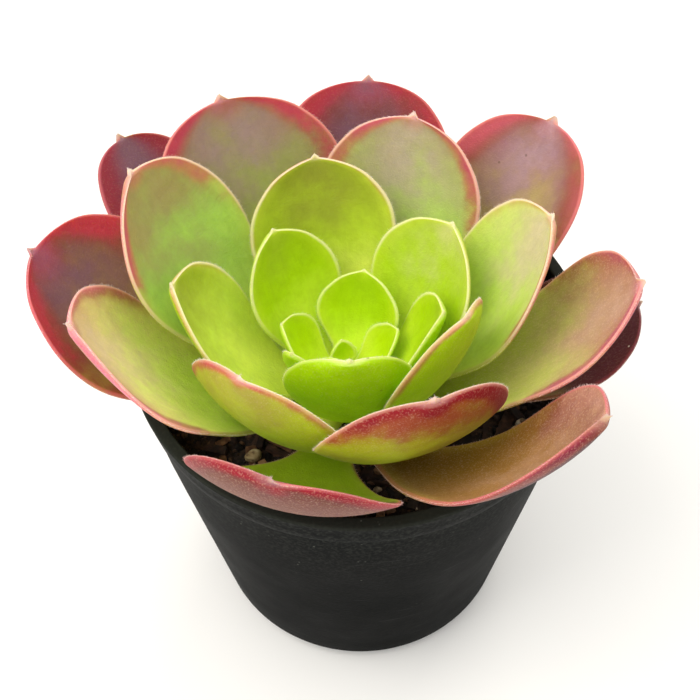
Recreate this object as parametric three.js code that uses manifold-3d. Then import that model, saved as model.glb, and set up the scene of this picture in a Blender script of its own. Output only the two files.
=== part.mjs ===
// A rosette succulent in a round plastic nursery pot.
// Millimetres, +Z up. The origin is the centre of the pot's flat base, on the surface it stands on.
// The pot holds potting mix, a short stem stands in the mix, and broad fleshy leaves grow from the
// stem one golden angle apart, the youngest in the heart and the oldest at the outside.

import * as THREE from 'three';
import Module from 'manifold-3d';
import { mergeVertices } from 'three/addons/utils/BufferGeometryUtils.js';

const wasm = await Module();
wasm.setup();

// Driving dimensions of the pot

const POT_HEIGHT = 80;
const RIM_RADIUS = 45;
const BASE_RADIUS = 33.2;
const BASE_CORNER = 4.5;
const WALL = 1.3;
const RIM_WIDTH = 2.6;
const RIM_DEPTH = 2.2;
const COLLAR_HEIGHT = 6.8;
const COLLAR_STEP = 0.35;
const FLOOR_TOP = 3.6;
const FOOT_HEIGHT = 2;
const FOOT_INNER_RADIUS = 27.5;
const FOOT_WIDTH_DEGREES = 36;
const FIRST_FOOT_DEGREES = -87;
const FEET = 4;
const DRAIN_HOLE_RADIUS = 2.6;
const DRAIN_HOLE_PLACE = 28.5;
const POT_SIDES = 60;

// Driving dimensions of the potting mix and the stem

const SOIL_LEVEL = 68;
const SOIL_UNEVENNESS = 0.7;
const GAP = 0.3;
const STEM_RADIUS = 5.2;
const STEM_DEPTH = 14;
const BARK_BITS = 44;
const GRIT_BITS = 16;

// Driving dimensions of the rosette

const GOLDEN_ANGLE = 137.508;
const FIRST_LEAF_DEGREES = 113;
const OLDEST_LEAF = 30;
const LOST_LEAVES = [28];
const CROWN = new THREE.Vector3(-2.5, -14, 71);
const CROWN_LEAN_DEGREES = -8;
const CROWN_HEIGHT = 11.5;
const CROWN_RADIUS = 11;
const LONGEST_LEAF = 69;
const WIDEST_LEAF = 37;
const LEAF_THICKNESS = 2;
const LEAF_ROWS = 12;
const LEAF_COLUMNS = 6;
const POINT = 0.025;

// How single leaves depart from the rule of their age: turn is in degrees about the stem, pitch,
// curl, cup, roll and bend are in degrees, length, width and rootHeight in mm, and widest and arch
// shape the outline

const DEPARTURES = {
  2: { length: -2.3, width: -0.3 },
  3: { turn: -18, pitch: -10.7, width: 1 },
  4: { turn: 9, pitch: -3.8, width: 2.5 },
  5: { turn: -16, length: -11, width: -8.5 },
  6: { turn: -8, length: -2 },
  7: { turn: 16, pitch: -2, width: -9.1, length: -1.3, rootHeight: -0.05 },
  8: { turn: -8, length: -1.5, width: 2.4, pitch: -4, rootHeight: 0.32 },
  9: { turn: -1, length: 0.8, width: -0.8, rootHeight: 0.1 },
  10: { turn: 2, length: 2, curl: 26, cup: 9, arch: -0.2, widest: 0.08, rootHeight: -0.1 },
  11: { turn: -13.8, length: 0.4, width: 2, pitch: -2, rootHeight: -0.45 },
  12: { turn: 1.5, length: 2, pitch: -7, width: 1, roll: -5 },
  13: { turn: -2, length: 1.3, width: -1.6, pitch: 3, curl: 14, roll: 2, rootHeight: -0.5 },
  15: { turn: 1, length: -1, pitch: -3, curl: 34, width: 1, roll: -2, rootHeight: -0.1 },
  16: { turn: -6, length: 3, pitch: -2, rootHeight: -0.6 },
  17: { turn: 5, length: 6, pitch: -1, width: 3, rootHeight: 0.2 },
  18: { turn: 2, length: -3, width: 2, pitch: -1, curl: 30, roll: -4, rootHeight: -0.1 },
  19: { turn: 2, length: -1 },
  20: { turn: -4, pitch: -5, width: 1 },
  21: { turn: 6, pitch: -4, length: 1, width: -2.5, widest: 0.03, rootHeight: -0.3 },
  22: { turn: -2.2, width: 5.5, length: 0.8 },
  23: { turn: -4, length: -15.5, width: 3, pitch: -5, curl: 53 },
  24: { turn: 7, width: -2.5, widest: 0.03 },
  25: { turn: -5, length: -4.5, pitch: -8, width: 6.5 },
  26: { turn: -12, length: -0.5, width: -6, pitch: 3, curl: 20, cup: 10, bend: 43, roll: -8 },
  27: { turn: -3, length: -1.5, pitch: -2, width: 1, rootHeight: 0.5 },
  29: { turn: 5, length: -18, width: -7, pitch: -8, rootHeight: 1 },
  30: { turn: -7, length: -3, width: -10, pitch: 1 },
};

// Small helpers

const radians = (degrees) => (degrees * Math.PI) / 180;

const mix = (a, b, t) => a + (b - a) * t;

function smooth(from, to, x) {
  const t = THREE.MathUtils.clamp((x - from) / (to - from), 0, 1);
  return t * t * (3 - 2 * t);
}

// Value at x on the straight stretches between the given points
function alongPoints(points, x) {
  const next = Math.max(1, points.findIndex((point) => point[0] >= x));
  const [x0, y0] = points[next - 1];
  const [x1, y1] = points[next];
  return mix(y0, y1, (x - x0) / (x1 - x0));
}

// A repeatable stream of numbers from 0 to 1
function randomStream(seed) {
  let state = seed;
  return () => {
    state = (state * 1664525 + 1013904223) % 4294967296;
    return state / 4294967296;
  };
}

function toManifold(geometry) {
  const bare = geometry.clone();
  bare.deleteAttribute('normal');
  bare.deleteAttribute('uv');
  const merged = mergeVertices(bare, 1e-4);
  return new wasm.Manifold(new wasm.Mesh({
    numProp: 3,
    vertProperties: new Float32Array(merged.attributes.position.array),
    triVerts: new Uint32Array(merged.index.array),
  }));
}

function toGeometry(manifold) {
  const { vertProperties, triVerts } = manifold.getMesh();
  const geometry = new THREE.BufferGeometry();
  geometry.setAttribute('position', new THREE.BufferAttribute(vertProperties, 3));
  geometry.setIndex(new THREE.BufferAttribute(triVerts, 1));
  geometry.computeVertexNormals();
  return geometry;
}

function addPiece(group, name, geometry, color, roughness) {
  const material = new THREE.MeshStandardMaterial({ color, roughness, metalness: 0 });
  const mesh = new THREE.Mesh(geometry, material);
  mesh.name = name;
  group.add(mesh);
  return mesh;
}

// Lathe about +Z from [radius, height] pairs that run up the outside and back down the axis
function turned(profile, sides) {
  const points = profile.map(([radius, height]) => new THREE.Vector2(radius, height));
  const geometry = new THREE.LatheGeometry(points, sides);
  geometry.rotateX(Math.PI / 2);
  return geometry;
}

// Pot: a thin tapered wall, a collar with a flat rim, a rounded corner and four feet

function outerRadius(height) {
  return mix(BASE_RADIUS, RIM_RADIUS, height / POT_HEIGHT);
}

function innerRadius(height) {
  return outerRadius(height) - WALL;
}

function potProfile() {
  const profile = [[0, 0]];
  const cornerSteps = 5;
  for (let step = 0; step <= cornerSteps; step += 1) {
    const angle = (step / cornerSteps) * (Math.PI / 2);
    const height = BASE_CORNER * (1 - Math.cos(angle));
    const inset = BASE_CORNER * (1 - Math.sin(angle));
    profile.push([outerRadius(height) - inset, height]);
  }
  const collarFoot = POT_HEIGHT - COLLAR_HEIGHT;
  profile.push([outerRadius(collarFoot) - COLLAR_STEP, collarFoot]);
  profile.push([outerRadius(collarFoot), collarFoot + COLLAR_STEP]);
  profile.push([RIM_RADIUS, POT_HEIGHT - 0.4]);
  profile.push([RIM_RADIUS - 0.4, POT_HEIGHT]);
  profile.push([RIM_RADIUS - RIM_WIDTH, POT_HEIGHT]);
  profile.push([RIM_RADIUS - RIM_WIDTH, POT_HEIGHT - RIM_DEPTH]);
  profile.push([innerRadius(POT_HEIGHT - RIM_DEPTH - 1.2), POT_HEIGHT - RIM_DEPTH - 1.2]);
  profile.push([innerRadius(FLOOR_TOP + 3), FLOOR_TOP + 3]);
  profile.push([innerRadius(FLOOR_TOP) - 3, FLOOR_TOP]);
  profile.push([0, FLOOR_TOP]);
  return profile;
}

// The gap between two feet is a sector of a ring, cut from under the base
function footGap(middleDegrees) {
  const halfWidth = radians((360 / FEET - FOOT_WIDTH_DEGREES) / 2);
  const outer = RIM_RADIUS;
  const shape = new THREE.Shape();
  shape.absarc(0, 0, outer, -halfWidth, halfWidth, false);
  shape.absarc(0, 0, FOOT_INNER_RADIUS, halfWidth, -halfWidth, true);
  shape.closePath();
  const geometry = new THREE.ExtrudeGeometry(shape, {
    depth: FOOT_HEIGHT + 5,
    bevelEnabled: false,
    curveSegments: 14,
  });
  geometry.translate(0, 0, -5);
  geometry.rotateZ(radians(middleDegrees));
  return toManifold(geometry);
}

function drainHole(middleDegrees) {
  const geometry = new THREE.CylinderGeometry(DRAIN_HOLE_RADIUS, DRAIN_HOLE_RADIUS, 12, 20);
  geometry.rotateX(Math.PI / 2);
  const angle = radians(middleDegrees);
  geometry.translate(DRAIN_HOLE_PLACE * Math.cos(angle), DRAIN_HOLE_PLACE * Math.sin(angle), 0);
  return toManifold(geometry);
}

function makePot() {
  let pot = toManifold(turned(potProfile(), POT_SIDES));
  for (let foot = 0; foot < FEET; foot += 1) {
    const middle = FIRST_FOOT_DEGREES + (foot + 0.5) * (360 / FEET);
    pot = pot.subtract(footGap(middle));
    pot = pot.subtract(drainHole(middle));
  }
  return toGeometry(pot);
}

// Leaves: a midrib that curves up in a vertical plane, an outline that widens past the middle and
// ends in a short point, and a section bent to a shallow trough

function leafRule(age) {
  const share = age / OLDEST_LEAF;
  const pitchByAge = [
    [1, 84], [2, 72], [3, 62], [4, 58], [6, 62], [9, 60], [12, 58],
    [15, 55], [18, 51], [21, 46], [24, 41], [27, 35], [30, 29],
  ];
  const leaf = {
    turn: FIRST_LEAF_DEGREES + GOLDEN_ANGLE * (age - 1),
    length: 4 + (LONGEST_LEAF - 4) * (1 - (1 - share) ** 1.45),
    width: 3 + (WIDEST_LEAF - 3) * (1 - (1 - share) ** 2.4),
    pitch: alongPoints(pitchByAge, age),
    curl: alongPoints([[1, 30], [10, 45], [20, 42], [30, 25]], age),
    cup: alongPoints([[1, 40], [10, 32], [20, 26], [30, 20]], age),
    roll: 0,
    bend: 0,
    thickness: LEAF_THICKNESS * mix(0.55, 1, smooth(0, 12, age)),
    rootRadius: CROWN_RADIUS * share ** 0.75,
    rootHeight: 0.5 + CROWN_HEIGHT * (1 - share),
    waist: alongPoints([[1, 0.55], [6, 0.36], [12, 0.26], [18, 0.22], [30, 0.2]], age),
    widest: alongPoints([[1, 0.5], [6, 0.56], [12, 0.62], [18, 0.66], [30, 0.68]], age),
    arch: alongPoints([[1, 0.85], [6, 0.72], [12, 0.6], [17, 0.52], [30, 0.5]], age),
  };
  for (const [name, change] of Object.entries(DEPARTURES[age] ?? {})) {
    leaf[name] += change;
  }
  return leaf;
}

// Half-width of the blade, as a share of the widest, at a place along it from 0 to 1. Young leaves
// are broad at the foot and end in an arch, old ones are spoon-shaped with a round end.
function outline(leaf, place) {
  if (place < leaf.widest) {
    return leaf.waist + (1 - leaf.waist) * (0.5 - 0.5 * Math.cos((Math.PI * place) / leaf.widest));
  }
  const v = Math.min(1, (place - leaf.widest) / (1 - POINT - leaf.widest));
  const end = Math.max(0, 1 - v ** 2.2) ** leaf.arch;
  const tip = Math.min(0.9 * (1 - place) ** 0.9, 0.2 * ((1 - place) / (POINT * 2)) ** 1.1);
  return Math.max(end, tip);
}

// Centre line, side direction and upward direction at a place along the leaf
function midrib(leaf, place) {
  const steps = 60;
  const centre = new THREE.Vector3(leaf.rootRadius, 0, leaf.rootHeight);
  const heading = (s) => {
    const pitch = radians(leaf.pitch + leaf.curl * (s - 0.5));
    const bend = radians(leaf.bend * s);
    return new THREE.Vector3(
      Math.cos(pitch) * Math.cos(bend),
      Math.cos(pitch) * Math.sin(bend),
      Math.sin(pitch),
    );
  };
  for (let step = 0; step < steps; step += 1) {
    centre.addScaledVector(heading((place * (step + 0.5)) / steps), (leaf.length * place) / steps);
  }
  const forward = heading(place);
  const bend = radians(leaf.bend * place);
  const roll = radians(leaf.roll) * smooth(0, 0.6, place);
  const side = new THREE.Vector3(-Math.sin(bend), Math.cos(bend), 0);
  side.applyAxisAngle(forward, roll);
  const up = new THREE.Vector3().crossVectors(forward, side);
  return { centre, side, up };
}

function leafPoint(leaf, frame, place, across, face) {
  const halfWidth = Math.max(0.15, (leaf.width / 2) * outline(leaf, place));
  const cup = radians(leaf.cup) * mix(0.55, 1, smooth(0, 0.6, place));
  const angle = cup * across;
  const normal = frame.up.clone().multiplyScalar(Math.cos(angle));
  normal.addScaledVector(frame.side, -Math.sin(angle));
  const body = leaf.thickness * (1.25 - 0.55 * smooth(0, 0.8, place));
  const taper = Math.sqrt(Math.min(1, halfWidth / (0.12 * leaf.width)));
  const thickness = Math.max(0.6, body * (1 - 0.55 * across ** 2)) * taper;
  const point = frame.centre.clone();
  point.addScaledVector(frame.side, (halfWidth * Math.sin(angle)) / cup);
  point.addScaledVector(frame.up, (halfWidth * (1 - Math.cos(angle))) / cup);
  point.addScaledVector(normal, face * thickness);
  return point;
}

function makeLeaf(age) {
  const leaf = leafRule(age);
  const upperShare = 0.35;
  const lowerShare = -0.65;
  const positions = [];
  const triangles = [];
  const perFace = LEAF_COLUMNS + 1;
  const perRow = 2 * perFace;
  for (let row = 0; row < LEAF_ROWS; row += 1) {
    const place = 1 - (1 - row / LEAF_ROWS) ** 2;
    const frame = midrib(leaf, place);
    for (const face of [upperShare, lowerShare]) {
      for (let column = 0; column <= LEAF_COLUMNS; column += 1) {
        const across = Math.sin((column / LEAF_COLUMNS - 0.5) * Math.PI);
        positions.push(...leafPoint(leaf, frame, place, across, face).toArray());
      }
    }
  }
  positions.push(...midrib(leaf, 1).centre.toArray());
  const tip = LEAF_ROWS * perRow;

  // A row's points run over the upper face, then back under the lower face
  const ring = [];
  for (let column = 0; column <= LEAF_COLUMNS; column += 1) ring.push(column);
  for (let column = LEAF_COLUMNS; column >= 0; column -= 1) ring.push(perFace + column);
  for (let step = 0; step < ring.length; step += 1) {
    const here = ring[step];
    const next = ring[(step + 1) % ring.length];
    for (let row = 0; row < LEAF_ROWS - 1; row += 1) {
      const a = row * perRow + here;
      const b = row * perRow + next;
      const c = b + perRow;
      const d = a + perRow;
      triangles.push(a, c, b, a, d, c);
    }
    const last = (LEAF_ROWS - 1) * perRow;
    triangles.push(last + here, tip, last + next);
  }
  for (let column = 0; column < LEAF_COLUMNS; column += 1) {
    const a = column;
    const b = column + 1;
    triangles.push(a, b, perFace + b, a, perFace + b, perFace + column);
  }
  const geometry = new THREE.BufferGeometry();
  geometry.setAttribute('position', new THREE.Float32BufferAttribute(positions, 3));
  geometry.setIndex(triangles);
  geometry.rotateZ(radians(leaf.turn));
  geometry.rotateX(radians(CROWN_LEAN_DEGREES));
  geometry.translate(CROWN.x, CROWN.y, CROWN.z);
  geometry.computeVertexNormals();
  return geometry;
}

// Young leaves are lime green, older ones turn olive and then wine red
function leafColor(age) {
  const lime = new THREE.Color('#9fc414');
  const green = new THREE.Color('#a3b04a');
  const wine = new THREE.Color('#8c4a55');
  const share = age / OLDEST_LEAF;
  if (share < 0.6) return lime.lerp(green, share / 0.6);
  return green.lerp(wine, (share - 0.6) / 0.4);
}

// Stem: a short post that narrows upward inside the ring of leaf roots

function makeStem() {
  const profile = [[0, -STEM_DEPTH], [STEM_RADIUS - 1, -STEM_DEPTH], [STEM_RADIUS, -STEM_DEPTH + 2]];
  for (let share = 1; share > 0.1; share -= 0.15) {
    const radius = Math.min(STEM_RADIUS, CROWN_RADIUS * share ** 0.75 - 2.2);
    profile.push([Math.max(0.8, radius), CROWN_HEIGHT * (1 - share)]);
  }
  profile.push([0, CROWN_HEIGHT * 0.85]);
  const geometry = turned(profile, 16);
  geometry.rotateX(radians(CROWN_LEAN_DEGREES));
  geometry.translate(CROWN.x, CROWN.y, CROWN.z);
  return geometry;
}

// Potting mix: fills the pot, with an uneven top and with bark slivers and grit standing on it

function soilLevel(x, y) {
  const waves = Math.sin(x * 0.31 + 1.2) * Math.cos(y * 0.27) + 0.6 * Math.sin(x * 0.73 - y * 0.55);
  return SOIL_LEVEL + SOIL_UNEVENNESS * waves;
}

function soilBody() {
  const sides = 36;
  const rings = 8;
  const bottom = FLOOR_TOP + GAP;
  const positions = [0, 0, soilLevel(0, 0)];
  const triangles = [];
  for (let ring = 1; ring <= rings; ring += 1) {
    for (let side = 0; side < sides; side += 1) {
      const angle = (side / sides) * 2 * Math.PI;
      const radius = (innerRadius(SOIL_LEVEL - 2) - GAP) * (ring / rings);
      const x = radius * Math.cos(angle);
      const y = radius * Math.sin(angle);
      positions.push(x, y, soilLevel(x, y));
    }
  }
  const levels = [
    [innerRadius(FLOOR_TOP + 3) - GAP, FLOOR_TOP + 3 + GAP],
    [innerRadius(FLOOR_TOP) - 3 - GAP, bottom],
  ];
  for (const [radius, height] of levels) {
    for (let side = 0; side < sides; side += 1) {
      const angle = (side / sides) * 2 * Math.PI;
      positions.push(radius * Math.cos(angle), radius * Math.sin(angle), height);
    }
  }
  positions.push(0, 0, bottom);
  const bottomCentre = positions.length / 3 - 1;
  const bands = rings + levels.length;
  for (let side = 0; side < sides; side += 1) {
    const next = (side + 1) % sides;
    triangles.push(0, 1 + side, 1 + next);
    for (let band = 0; band < bands - 1; band += 1) {
      const a = 1 + band * sides + side;
      const b = 1 + band * sides + next;
      triangles.push(a, a + sides, b + sides, a, b + sides, b);
    }
    const last = 1 + (bands - 1) * sides;
    triangles.push(last + side, bottomCentre, last + next);
  }
  const geometry = new THREE.BufferGeometry();
  geometry.setAttribute('position', new THREE.Float32BufferAttribute(positions, 3));
  geometry.setIndex(triangles);
  return toManifold(geometry);
}

function stemHole() {
  const radius = STEM_RADIUS + GAP;
  const geometry = new THREE.CylinderGeometry(radius, radius, 60, 24);
  geometry.rotateX(Math.PI / 2);
  geometry.translate(0, 0, 30 - STEM_DEPTH - GAP);
  geometry.rotateX(radians(CROWN_LEAN_DEGREES));
  geometry.translate(CROWN.x, CROWN.y, CROWN.z);
  return toManifold(geometry);
}

function makeSoil() {
  const random = randomStream(7);
  const bits = [];
  const reach = innerRadius(SOIL_LEVEL) - 4.5;
  for (let count = 0; count < BARK_BITS + GRIT_BITS; count += 1) {
    const angle = random() * 2 * Math.PI;
    const radius = reach * Math.sqrt(random());
    const x = radius * Math.cos(angle);
    const y = radius * Math.sin(angle);
    const isBark = count < BARK_BITS;
    const nearStem = Math.hypot(x - CROWN.x, y - CROWN.y) < STEM_RADIUS + 6;
    if (nearStem) continue;
    const long = isBark ? mix(3, 7.5, random()) : mix(1.4, 2.6, random());
    const wide = isBark ? mix(1, 2.2, random()) : mix(1.3, 2.2, random());
    const high = isBark ? mix(0.8, 1.5, random()) : mix(1.2, 1.8, random());
    const bit = isBark ? new THREE.BoxGeometry(long, wide, high) : new THREE.OctahedronGeometry(long / 2);
    bit.rotateY((random() - 0.5) * 0.4);
    bit.rotateZ(random() * Math.PI);
    bit.translate(x, y, soilLevel(x, y) - 0.1);
    bits.push(toManifold(bit));
  }
  let soil = soilBody();
  for (const bit of bits) soil = soil.add(bit);
  return toGeometry(soil.subtract(stemHole()));
}

// The whole plant in its pot

const plant = new THREE.Group();
addPiece(plant, 'pot', makePot(), '#2b2e2e', 0.5);
addPiece(plant, 'soil', makeSoil(), '#33241a', 0.95);
addPiece(plant, 'stem', makeStem(), '#7c6a45', 0.8);
for (let age = 1; age <= OLDEST_LEAF; age += 1) {
  if (!LOST_LEAVES.includes(age)) {
    const name = `leaf_${String(age).padStart(2, '0')}`;
    addPiece(plant, name, makeLeaf(age), leafColor(age), 0.55);
  }
}

export default plant;
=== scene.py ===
import math

import bmesh
import bpy
import numpy as np
from mathutils import Matrix, Vector


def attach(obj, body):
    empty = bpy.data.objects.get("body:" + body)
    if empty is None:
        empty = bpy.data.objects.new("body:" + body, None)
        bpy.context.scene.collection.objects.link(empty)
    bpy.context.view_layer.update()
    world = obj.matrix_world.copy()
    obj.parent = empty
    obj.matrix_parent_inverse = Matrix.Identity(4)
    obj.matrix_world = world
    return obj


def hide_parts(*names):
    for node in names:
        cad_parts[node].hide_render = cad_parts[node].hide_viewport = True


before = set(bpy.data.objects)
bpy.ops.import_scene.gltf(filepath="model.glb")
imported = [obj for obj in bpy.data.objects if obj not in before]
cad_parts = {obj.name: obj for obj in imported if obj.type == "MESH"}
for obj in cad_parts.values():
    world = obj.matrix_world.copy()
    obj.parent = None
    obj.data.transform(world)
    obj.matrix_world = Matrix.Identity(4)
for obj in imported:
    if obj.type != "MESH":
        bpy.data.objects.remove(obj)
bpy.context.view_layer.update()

# The nursery pot
# A thin-walled tapered pot with a collar and a flat rim, a rounded bottom corner and four low feet.
# It is injection moulded in black polypropylene, and has picked up dust and fine scratches in use.

MM = 0.001
POT_HEIGHT = 80
RIM_RADIUS = 45
BASE_RADIUS = 33.2
WALL = 1.3
POT_SEGMENTS = 240


def linear(hex_colour):
    """An sRGB hex value as the linear colour that a socket takes."""
    shares = [int(hex_colour[place:place + 2], 16) / 255 for place in (1, 3, 5)]
    return [s / 12.92 if s <= 0.04045 else ((s + 0.055) / 1.055) ** 2.4 for s in shares] + [1.0]


def add_node(tree, kind, inputs=None, stops=(), **settings):
    """Adds a node. An input is a value to set, or another node's output to link.

    A colour ramp takes its stops as pairs of a place and a hex colour.
    """
    made = tree.nodes.new(kind)
    for name, value in settings.items():
        setattr(made, name, value)
    if stops:
        elements = made.color_ramp.elements
        while len(elements) < len(stops):
            elements.new(1.0)
        for element, (place, colour) in zip(elements, stops):
            element.position = place
            element.color = linear(colour)
    for socket, value in (inputs or {}).items():
        if isinstance(value, bpy.types.NodeSocket):
            tree.links.new(value, made.inputs[socket])
        else:
            made.inputs[socket].default_value = value
    return made


def new_material(name):
    """An empty node material, and its tree."""
    material = bpy.data.materials.new(name)
    material.use_nodes = True
    material.node_tree.nodes.clear()
    return material, material.node_tree


def mesh_piece(name, points_mm, faces, material):
    """A smooth-shaded object at the origin from points in millimetres and lists of corners."""
    mesh = bpy.data.meshes.new(name)
    mesh.from_pydata((np.asarray(points_mm, float) * MM).tolist(), [], faces)
    mesh.materials.append(material)
    mesh.polygons.foreach_set("use_smooth", np.ones(len(mesh.polygons), bool))
    mesh.update()
    piece = bpy.data.objects.new(name, mesh)
    bpy.context.scene.collection.objects.link(piece)
    return piece


def turned(profile, segments, shape=None):
    """Points and faces of a lathe about Z. The profile starts and ends on the axis."""
    angles = np.arange(segments) * 2 * math.pi / segments
    rings = []
    for radius, height in profile[1:-1]:
        heights = np.full(segments, float(height))
        if shape is not None:
            heights = shape(radius, heights, angles)
        rings.append(np.stack([radius * np.cos(angles), radius * np.sin(angles), heights], 1))
    points = np.vstack([[(0, 0, profile[0][1])], *rings, [(0, 0, profile[-1][1])]])
    last = len(points) - 1
    faces = []
    for side in range(segments):
        near, far = 1 + side, 1 + (side + 1) % segments
        faces.append((0, far, near))
        for ring in range(len(rings) - 1):
            step = ring * segments
            faces.append((near + step, far + step, far + step + segments, near + step + segments))
        step = (len(rings) - 1) * segments
        faces.append((near + step, far + step, last))
    return points, faces


def applied(piece):
    """Bakes a piece's modifiers into a plain mesh and removes them."""
    depsgraph = bpy.context.evaluated_depsgraph_get()
    mesh = bpy.data.meshes.new_from_object(piece.evaluated_get(depsgraph))
    piece.modifiers.clear()
    piece.data = mesh
    return piece


def outer_radius(height):
    return BASE_RADIUS + (RIM_RADIUS - BASE_RADIUS) * height / POT_HEIGHT


def inner_radius(height):
    return outer_radius(height) - WALL


def arc(centre, radius, start, end, steps):
    """Points on a quarter or part of a circle, angles in degrees."""
    turns = np.radians(np.linspace(start, end, steps + 1))
    return [(centre[0] + radius * math.cos(t), centre[1] + radius * math.sin(t)) for t in turns]


FLOOR_TOP = 3.6
FOOT_HEIGHT = 2.0
FOOT_INNER_RADIUS = 27.5
FOOT_MIDDLES = (-87, 3, 93, 183)
FOOT_HALF_WIDTH = 18
COLLAR_FOOT = 73.2
COLLAR_STEP = 0.35
RIM_WIDTH = 2.6
RIM_DEPTH = 2.2
CORNER_RADIUS = 4.5
HOLE_RING_RADIUS = 28.5
HOLE_RADIUS = 2.6

pot_profile = [(0, 0), (12, 0), (20, 0), (26, 0), (FOOT_INNER_RADIUS - 0.25, 0), (FOOT_INNER_RADIUS, 0)]
for step in range(11):
    turn = math.radians(9 * step)
    height = CORNER_RADIUS * (1 - math.cos(turn))
    pot_profile.append((outer_radius(height) - CORNER_RADIUS * (1 - math.sin(turn)), height))
for height in (8, 16, 28, 40, 52, 62, 70, 72.6):
    pot_profile.append((outer_radius(height) - COLLAR_STEP * (height > 60) * (height - 60) / 13, height))
pot_profile += [
    (outer_radius(COLLAR_FOOT) - COLLAR_STEP, COLLAR_FOOT - 0.1),
    (outer_radius(COLLAR_FOOT) - 0.12, COLLAR_FOOT + 0.08),
    (outer_radius(COLLAR_FOOT) + 0.02, COLLAR_FOOT + COLLAR_STEP),
    (outer_radius(76) + 0.02, 76),
    (RIM_RADIUS - 0.35, POT_HEIGHT - 1.4),
    *arc((RIM_RADIUS - 0.55, POT_HEIGHT - 0.55), 0.55, 0, 90, 5),
    (RIM_RADIUS - 1.4, POT_HEIGHT + 0.02),
    *arc((RIM_RADIUS - RIM_WIDTH + 0.45, POT_HEIGHT - 0.45), 0.45, 90, 180, 4),
    (RIM_RADIUS - RIM_WIDTH, POT_HEIGHT - RIM_DEPTH),
    (inner_radius(76) + 0.25, 77.3),
    (inner_radius(76), 76),
    (inner_radius(60), 60),
    (inner_radius(30), 30),
    (inner_radius(FLOOR_TOP + 3), FLOOR_TOP + 3),
    (inner_radius(FLOOR_TOP) - 0.9, FLOOR_TOP + 0.9),
    (inner_radius(FLOOR_TOP) - 3, FLOOR_TOP),
    (0, FLOOR_TOP),
]


def lift_between_feet(radius, heights, angles):
    """Raises the underside between the feet, where water runs out."""
    if radius < FOOT_INNER_RADIUS - 0.01:
        return heights
    on_foot = np.zeros(len(angles), bool)
    for middle in FOOT_MIDDLES:
        away = np.abs((np.degrees(angles) - middle + 180) % 360 - 180)
        on_foot |= away <= FOOT_HALF_WIDTH
    return np.where(on_foot, heights, np.maximum(heights, FOOT_HEIGHT))


pot_plastic, tree = new_material("black_polypropylene_moulded")
# Black polypropylene with a fine spark-eroded skin gives a weak satin sheen, not a gloss. Grey dust,
# lime spots and scuffs show on it, most under the rim.
place = add_node(tree, "ShaderNodeTexCoord").outputs["Object"]
height = add_node(tree, "ShaderNodeSeparateXYZ", {0: place}).outputs["Z"]
clouds = add_node(tree, "ShaderNodeTexNoise", {"Vector": place, "Scale": 45, "Detail": 4}).outputs["Fac"]
high = add_node(tree, "ShaderNodeMapRange", {0: height, 1: 0.03, 2: 0.08, 3: 0.25, 4: 1.0}).outputs[0]
dust = add_node(tree, "ShaderNodeMapRange", {0: clouds, 1: 0.42, 2: 0.72}).outputs[0]
dust = add_node(tree, "ShaderNodeMath", {0: dust, 1: high}, operation="MULTIPLY").outputs[0]
specks = add_node(tree, "ShaderNodeTexVoronoi", {"Vector": place, "Scale": 620}).outputs["Distance"]
speck_tone = add_node(
    tree, "ShaderNodeTexNoise", {"Vector": place, "Scale": 210, "Detail": 2}
).outputs["Fac"]
specks = add_node(tree, "ShaderNodeMapRange", {0: specks, 1: 0.16, 2: 0.07}).outputs[0]
speck_tone = add_node(tree, "ShaderNodeMapRange", {0: speck_tone, 1: 0.57, 2: 0.66}).outputs[0]
specks = add_node(tree, "ShaderNodeMath", {0: specks, 1: speck_tone}, operation="MULTIPLY").outputs[0]
specks = add_node(tree, "ShaderNodeMath", {0: specks, 1: high}, operation="MULTIPLY").outputs[0]
stretched = add_node(
    tree, "ShaderNodeMapping", {"Vector": place, "Scale": (60, 60, 1400), "Rotation": (0.35, 0.2, 0)}
).outputs[0]
scratches = add_node(
    tree, "ShaderNodeTexNoise", {"Vector": stretched, "Scale": 1, "Detail": 3}
).outputs["Fac"]
scratches = add_node(tree, "ShaderNodeMapRange", {0: scratches, 1: 0.68, 2: 0.76}).outputs[0]
skin = add_node(
    tree,
    "ShaderNodeMix",
    {0: dust, 6: linear("#050606"), 7: linear("#121414")},
    data_type="RGBA",
).outputs[2]
fine = add_node(tree, "ShaderNodeTexNoise", {"Vector": place, "Scale": 1500, "Detail": 4}).outputs["Fac"]
grains = add_node(tree, "ShaderNodeMapRange", {0: fine, 1: 0.45, 2: 0.7}).outputs[0]
settled = add_node(tree, "ShaderNodeMapRange", {0: height, 1: 0.05, 2: 0.079, 3: 0.05, 4: 0.5}).outputs[0]
settled = add_node(tree, "ShaderNodeMath", {0: settled, 1: grains}, operation="MULTIPLY").outputs[0]
skin = add_node(
    tree, "ShaderNodeMix", {0: settled, 6: skin, 7: linear("#3c3e39")}, data_type="RGBA"
).outputs[2]
on_rim = add_node(
    tree, "ShaderNodeMapRange", {0: height, 1: 0.0788, 2: 0.0798, 3: 0.0, 4: 0.75}
).outputs[0]
skin = add_node(
    tree, "ShaderNodeMix", {0: on_rim, 6: skin, 7: linear("#2e302b")}, data_type="RGBA"
).outputs[2]
skin = add_node(
    tree, "ShaderNodeMix", {0: specks, 6: skin, 7: linear("#666862")}, data_type="RGBA"
).outputs[2]
scratched = add_node(tree, "ShaderNodeMath", {0: scratches, 1: 0.35}, operation="MULTIPLY").outputs[0]
skin = add_node(
    tree, "ShaderNodeMix", {0: scratched, 6: skin, 7: linear("#4a4d4b")}, data_type="RGBA"
).outputs[2]
satin = add_node(tree, "ShaderNodeMapRange", {0: clouds, 1: 0.3, 2: 0.7, 3: 0.42, 4: 0.56}).outputs[0]
satin = add_node(
    tree, "ShaderNodeMath", {0: satin, 1: specks}, operation="ADD", use_clamp=True
).outputs[0]
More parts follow.
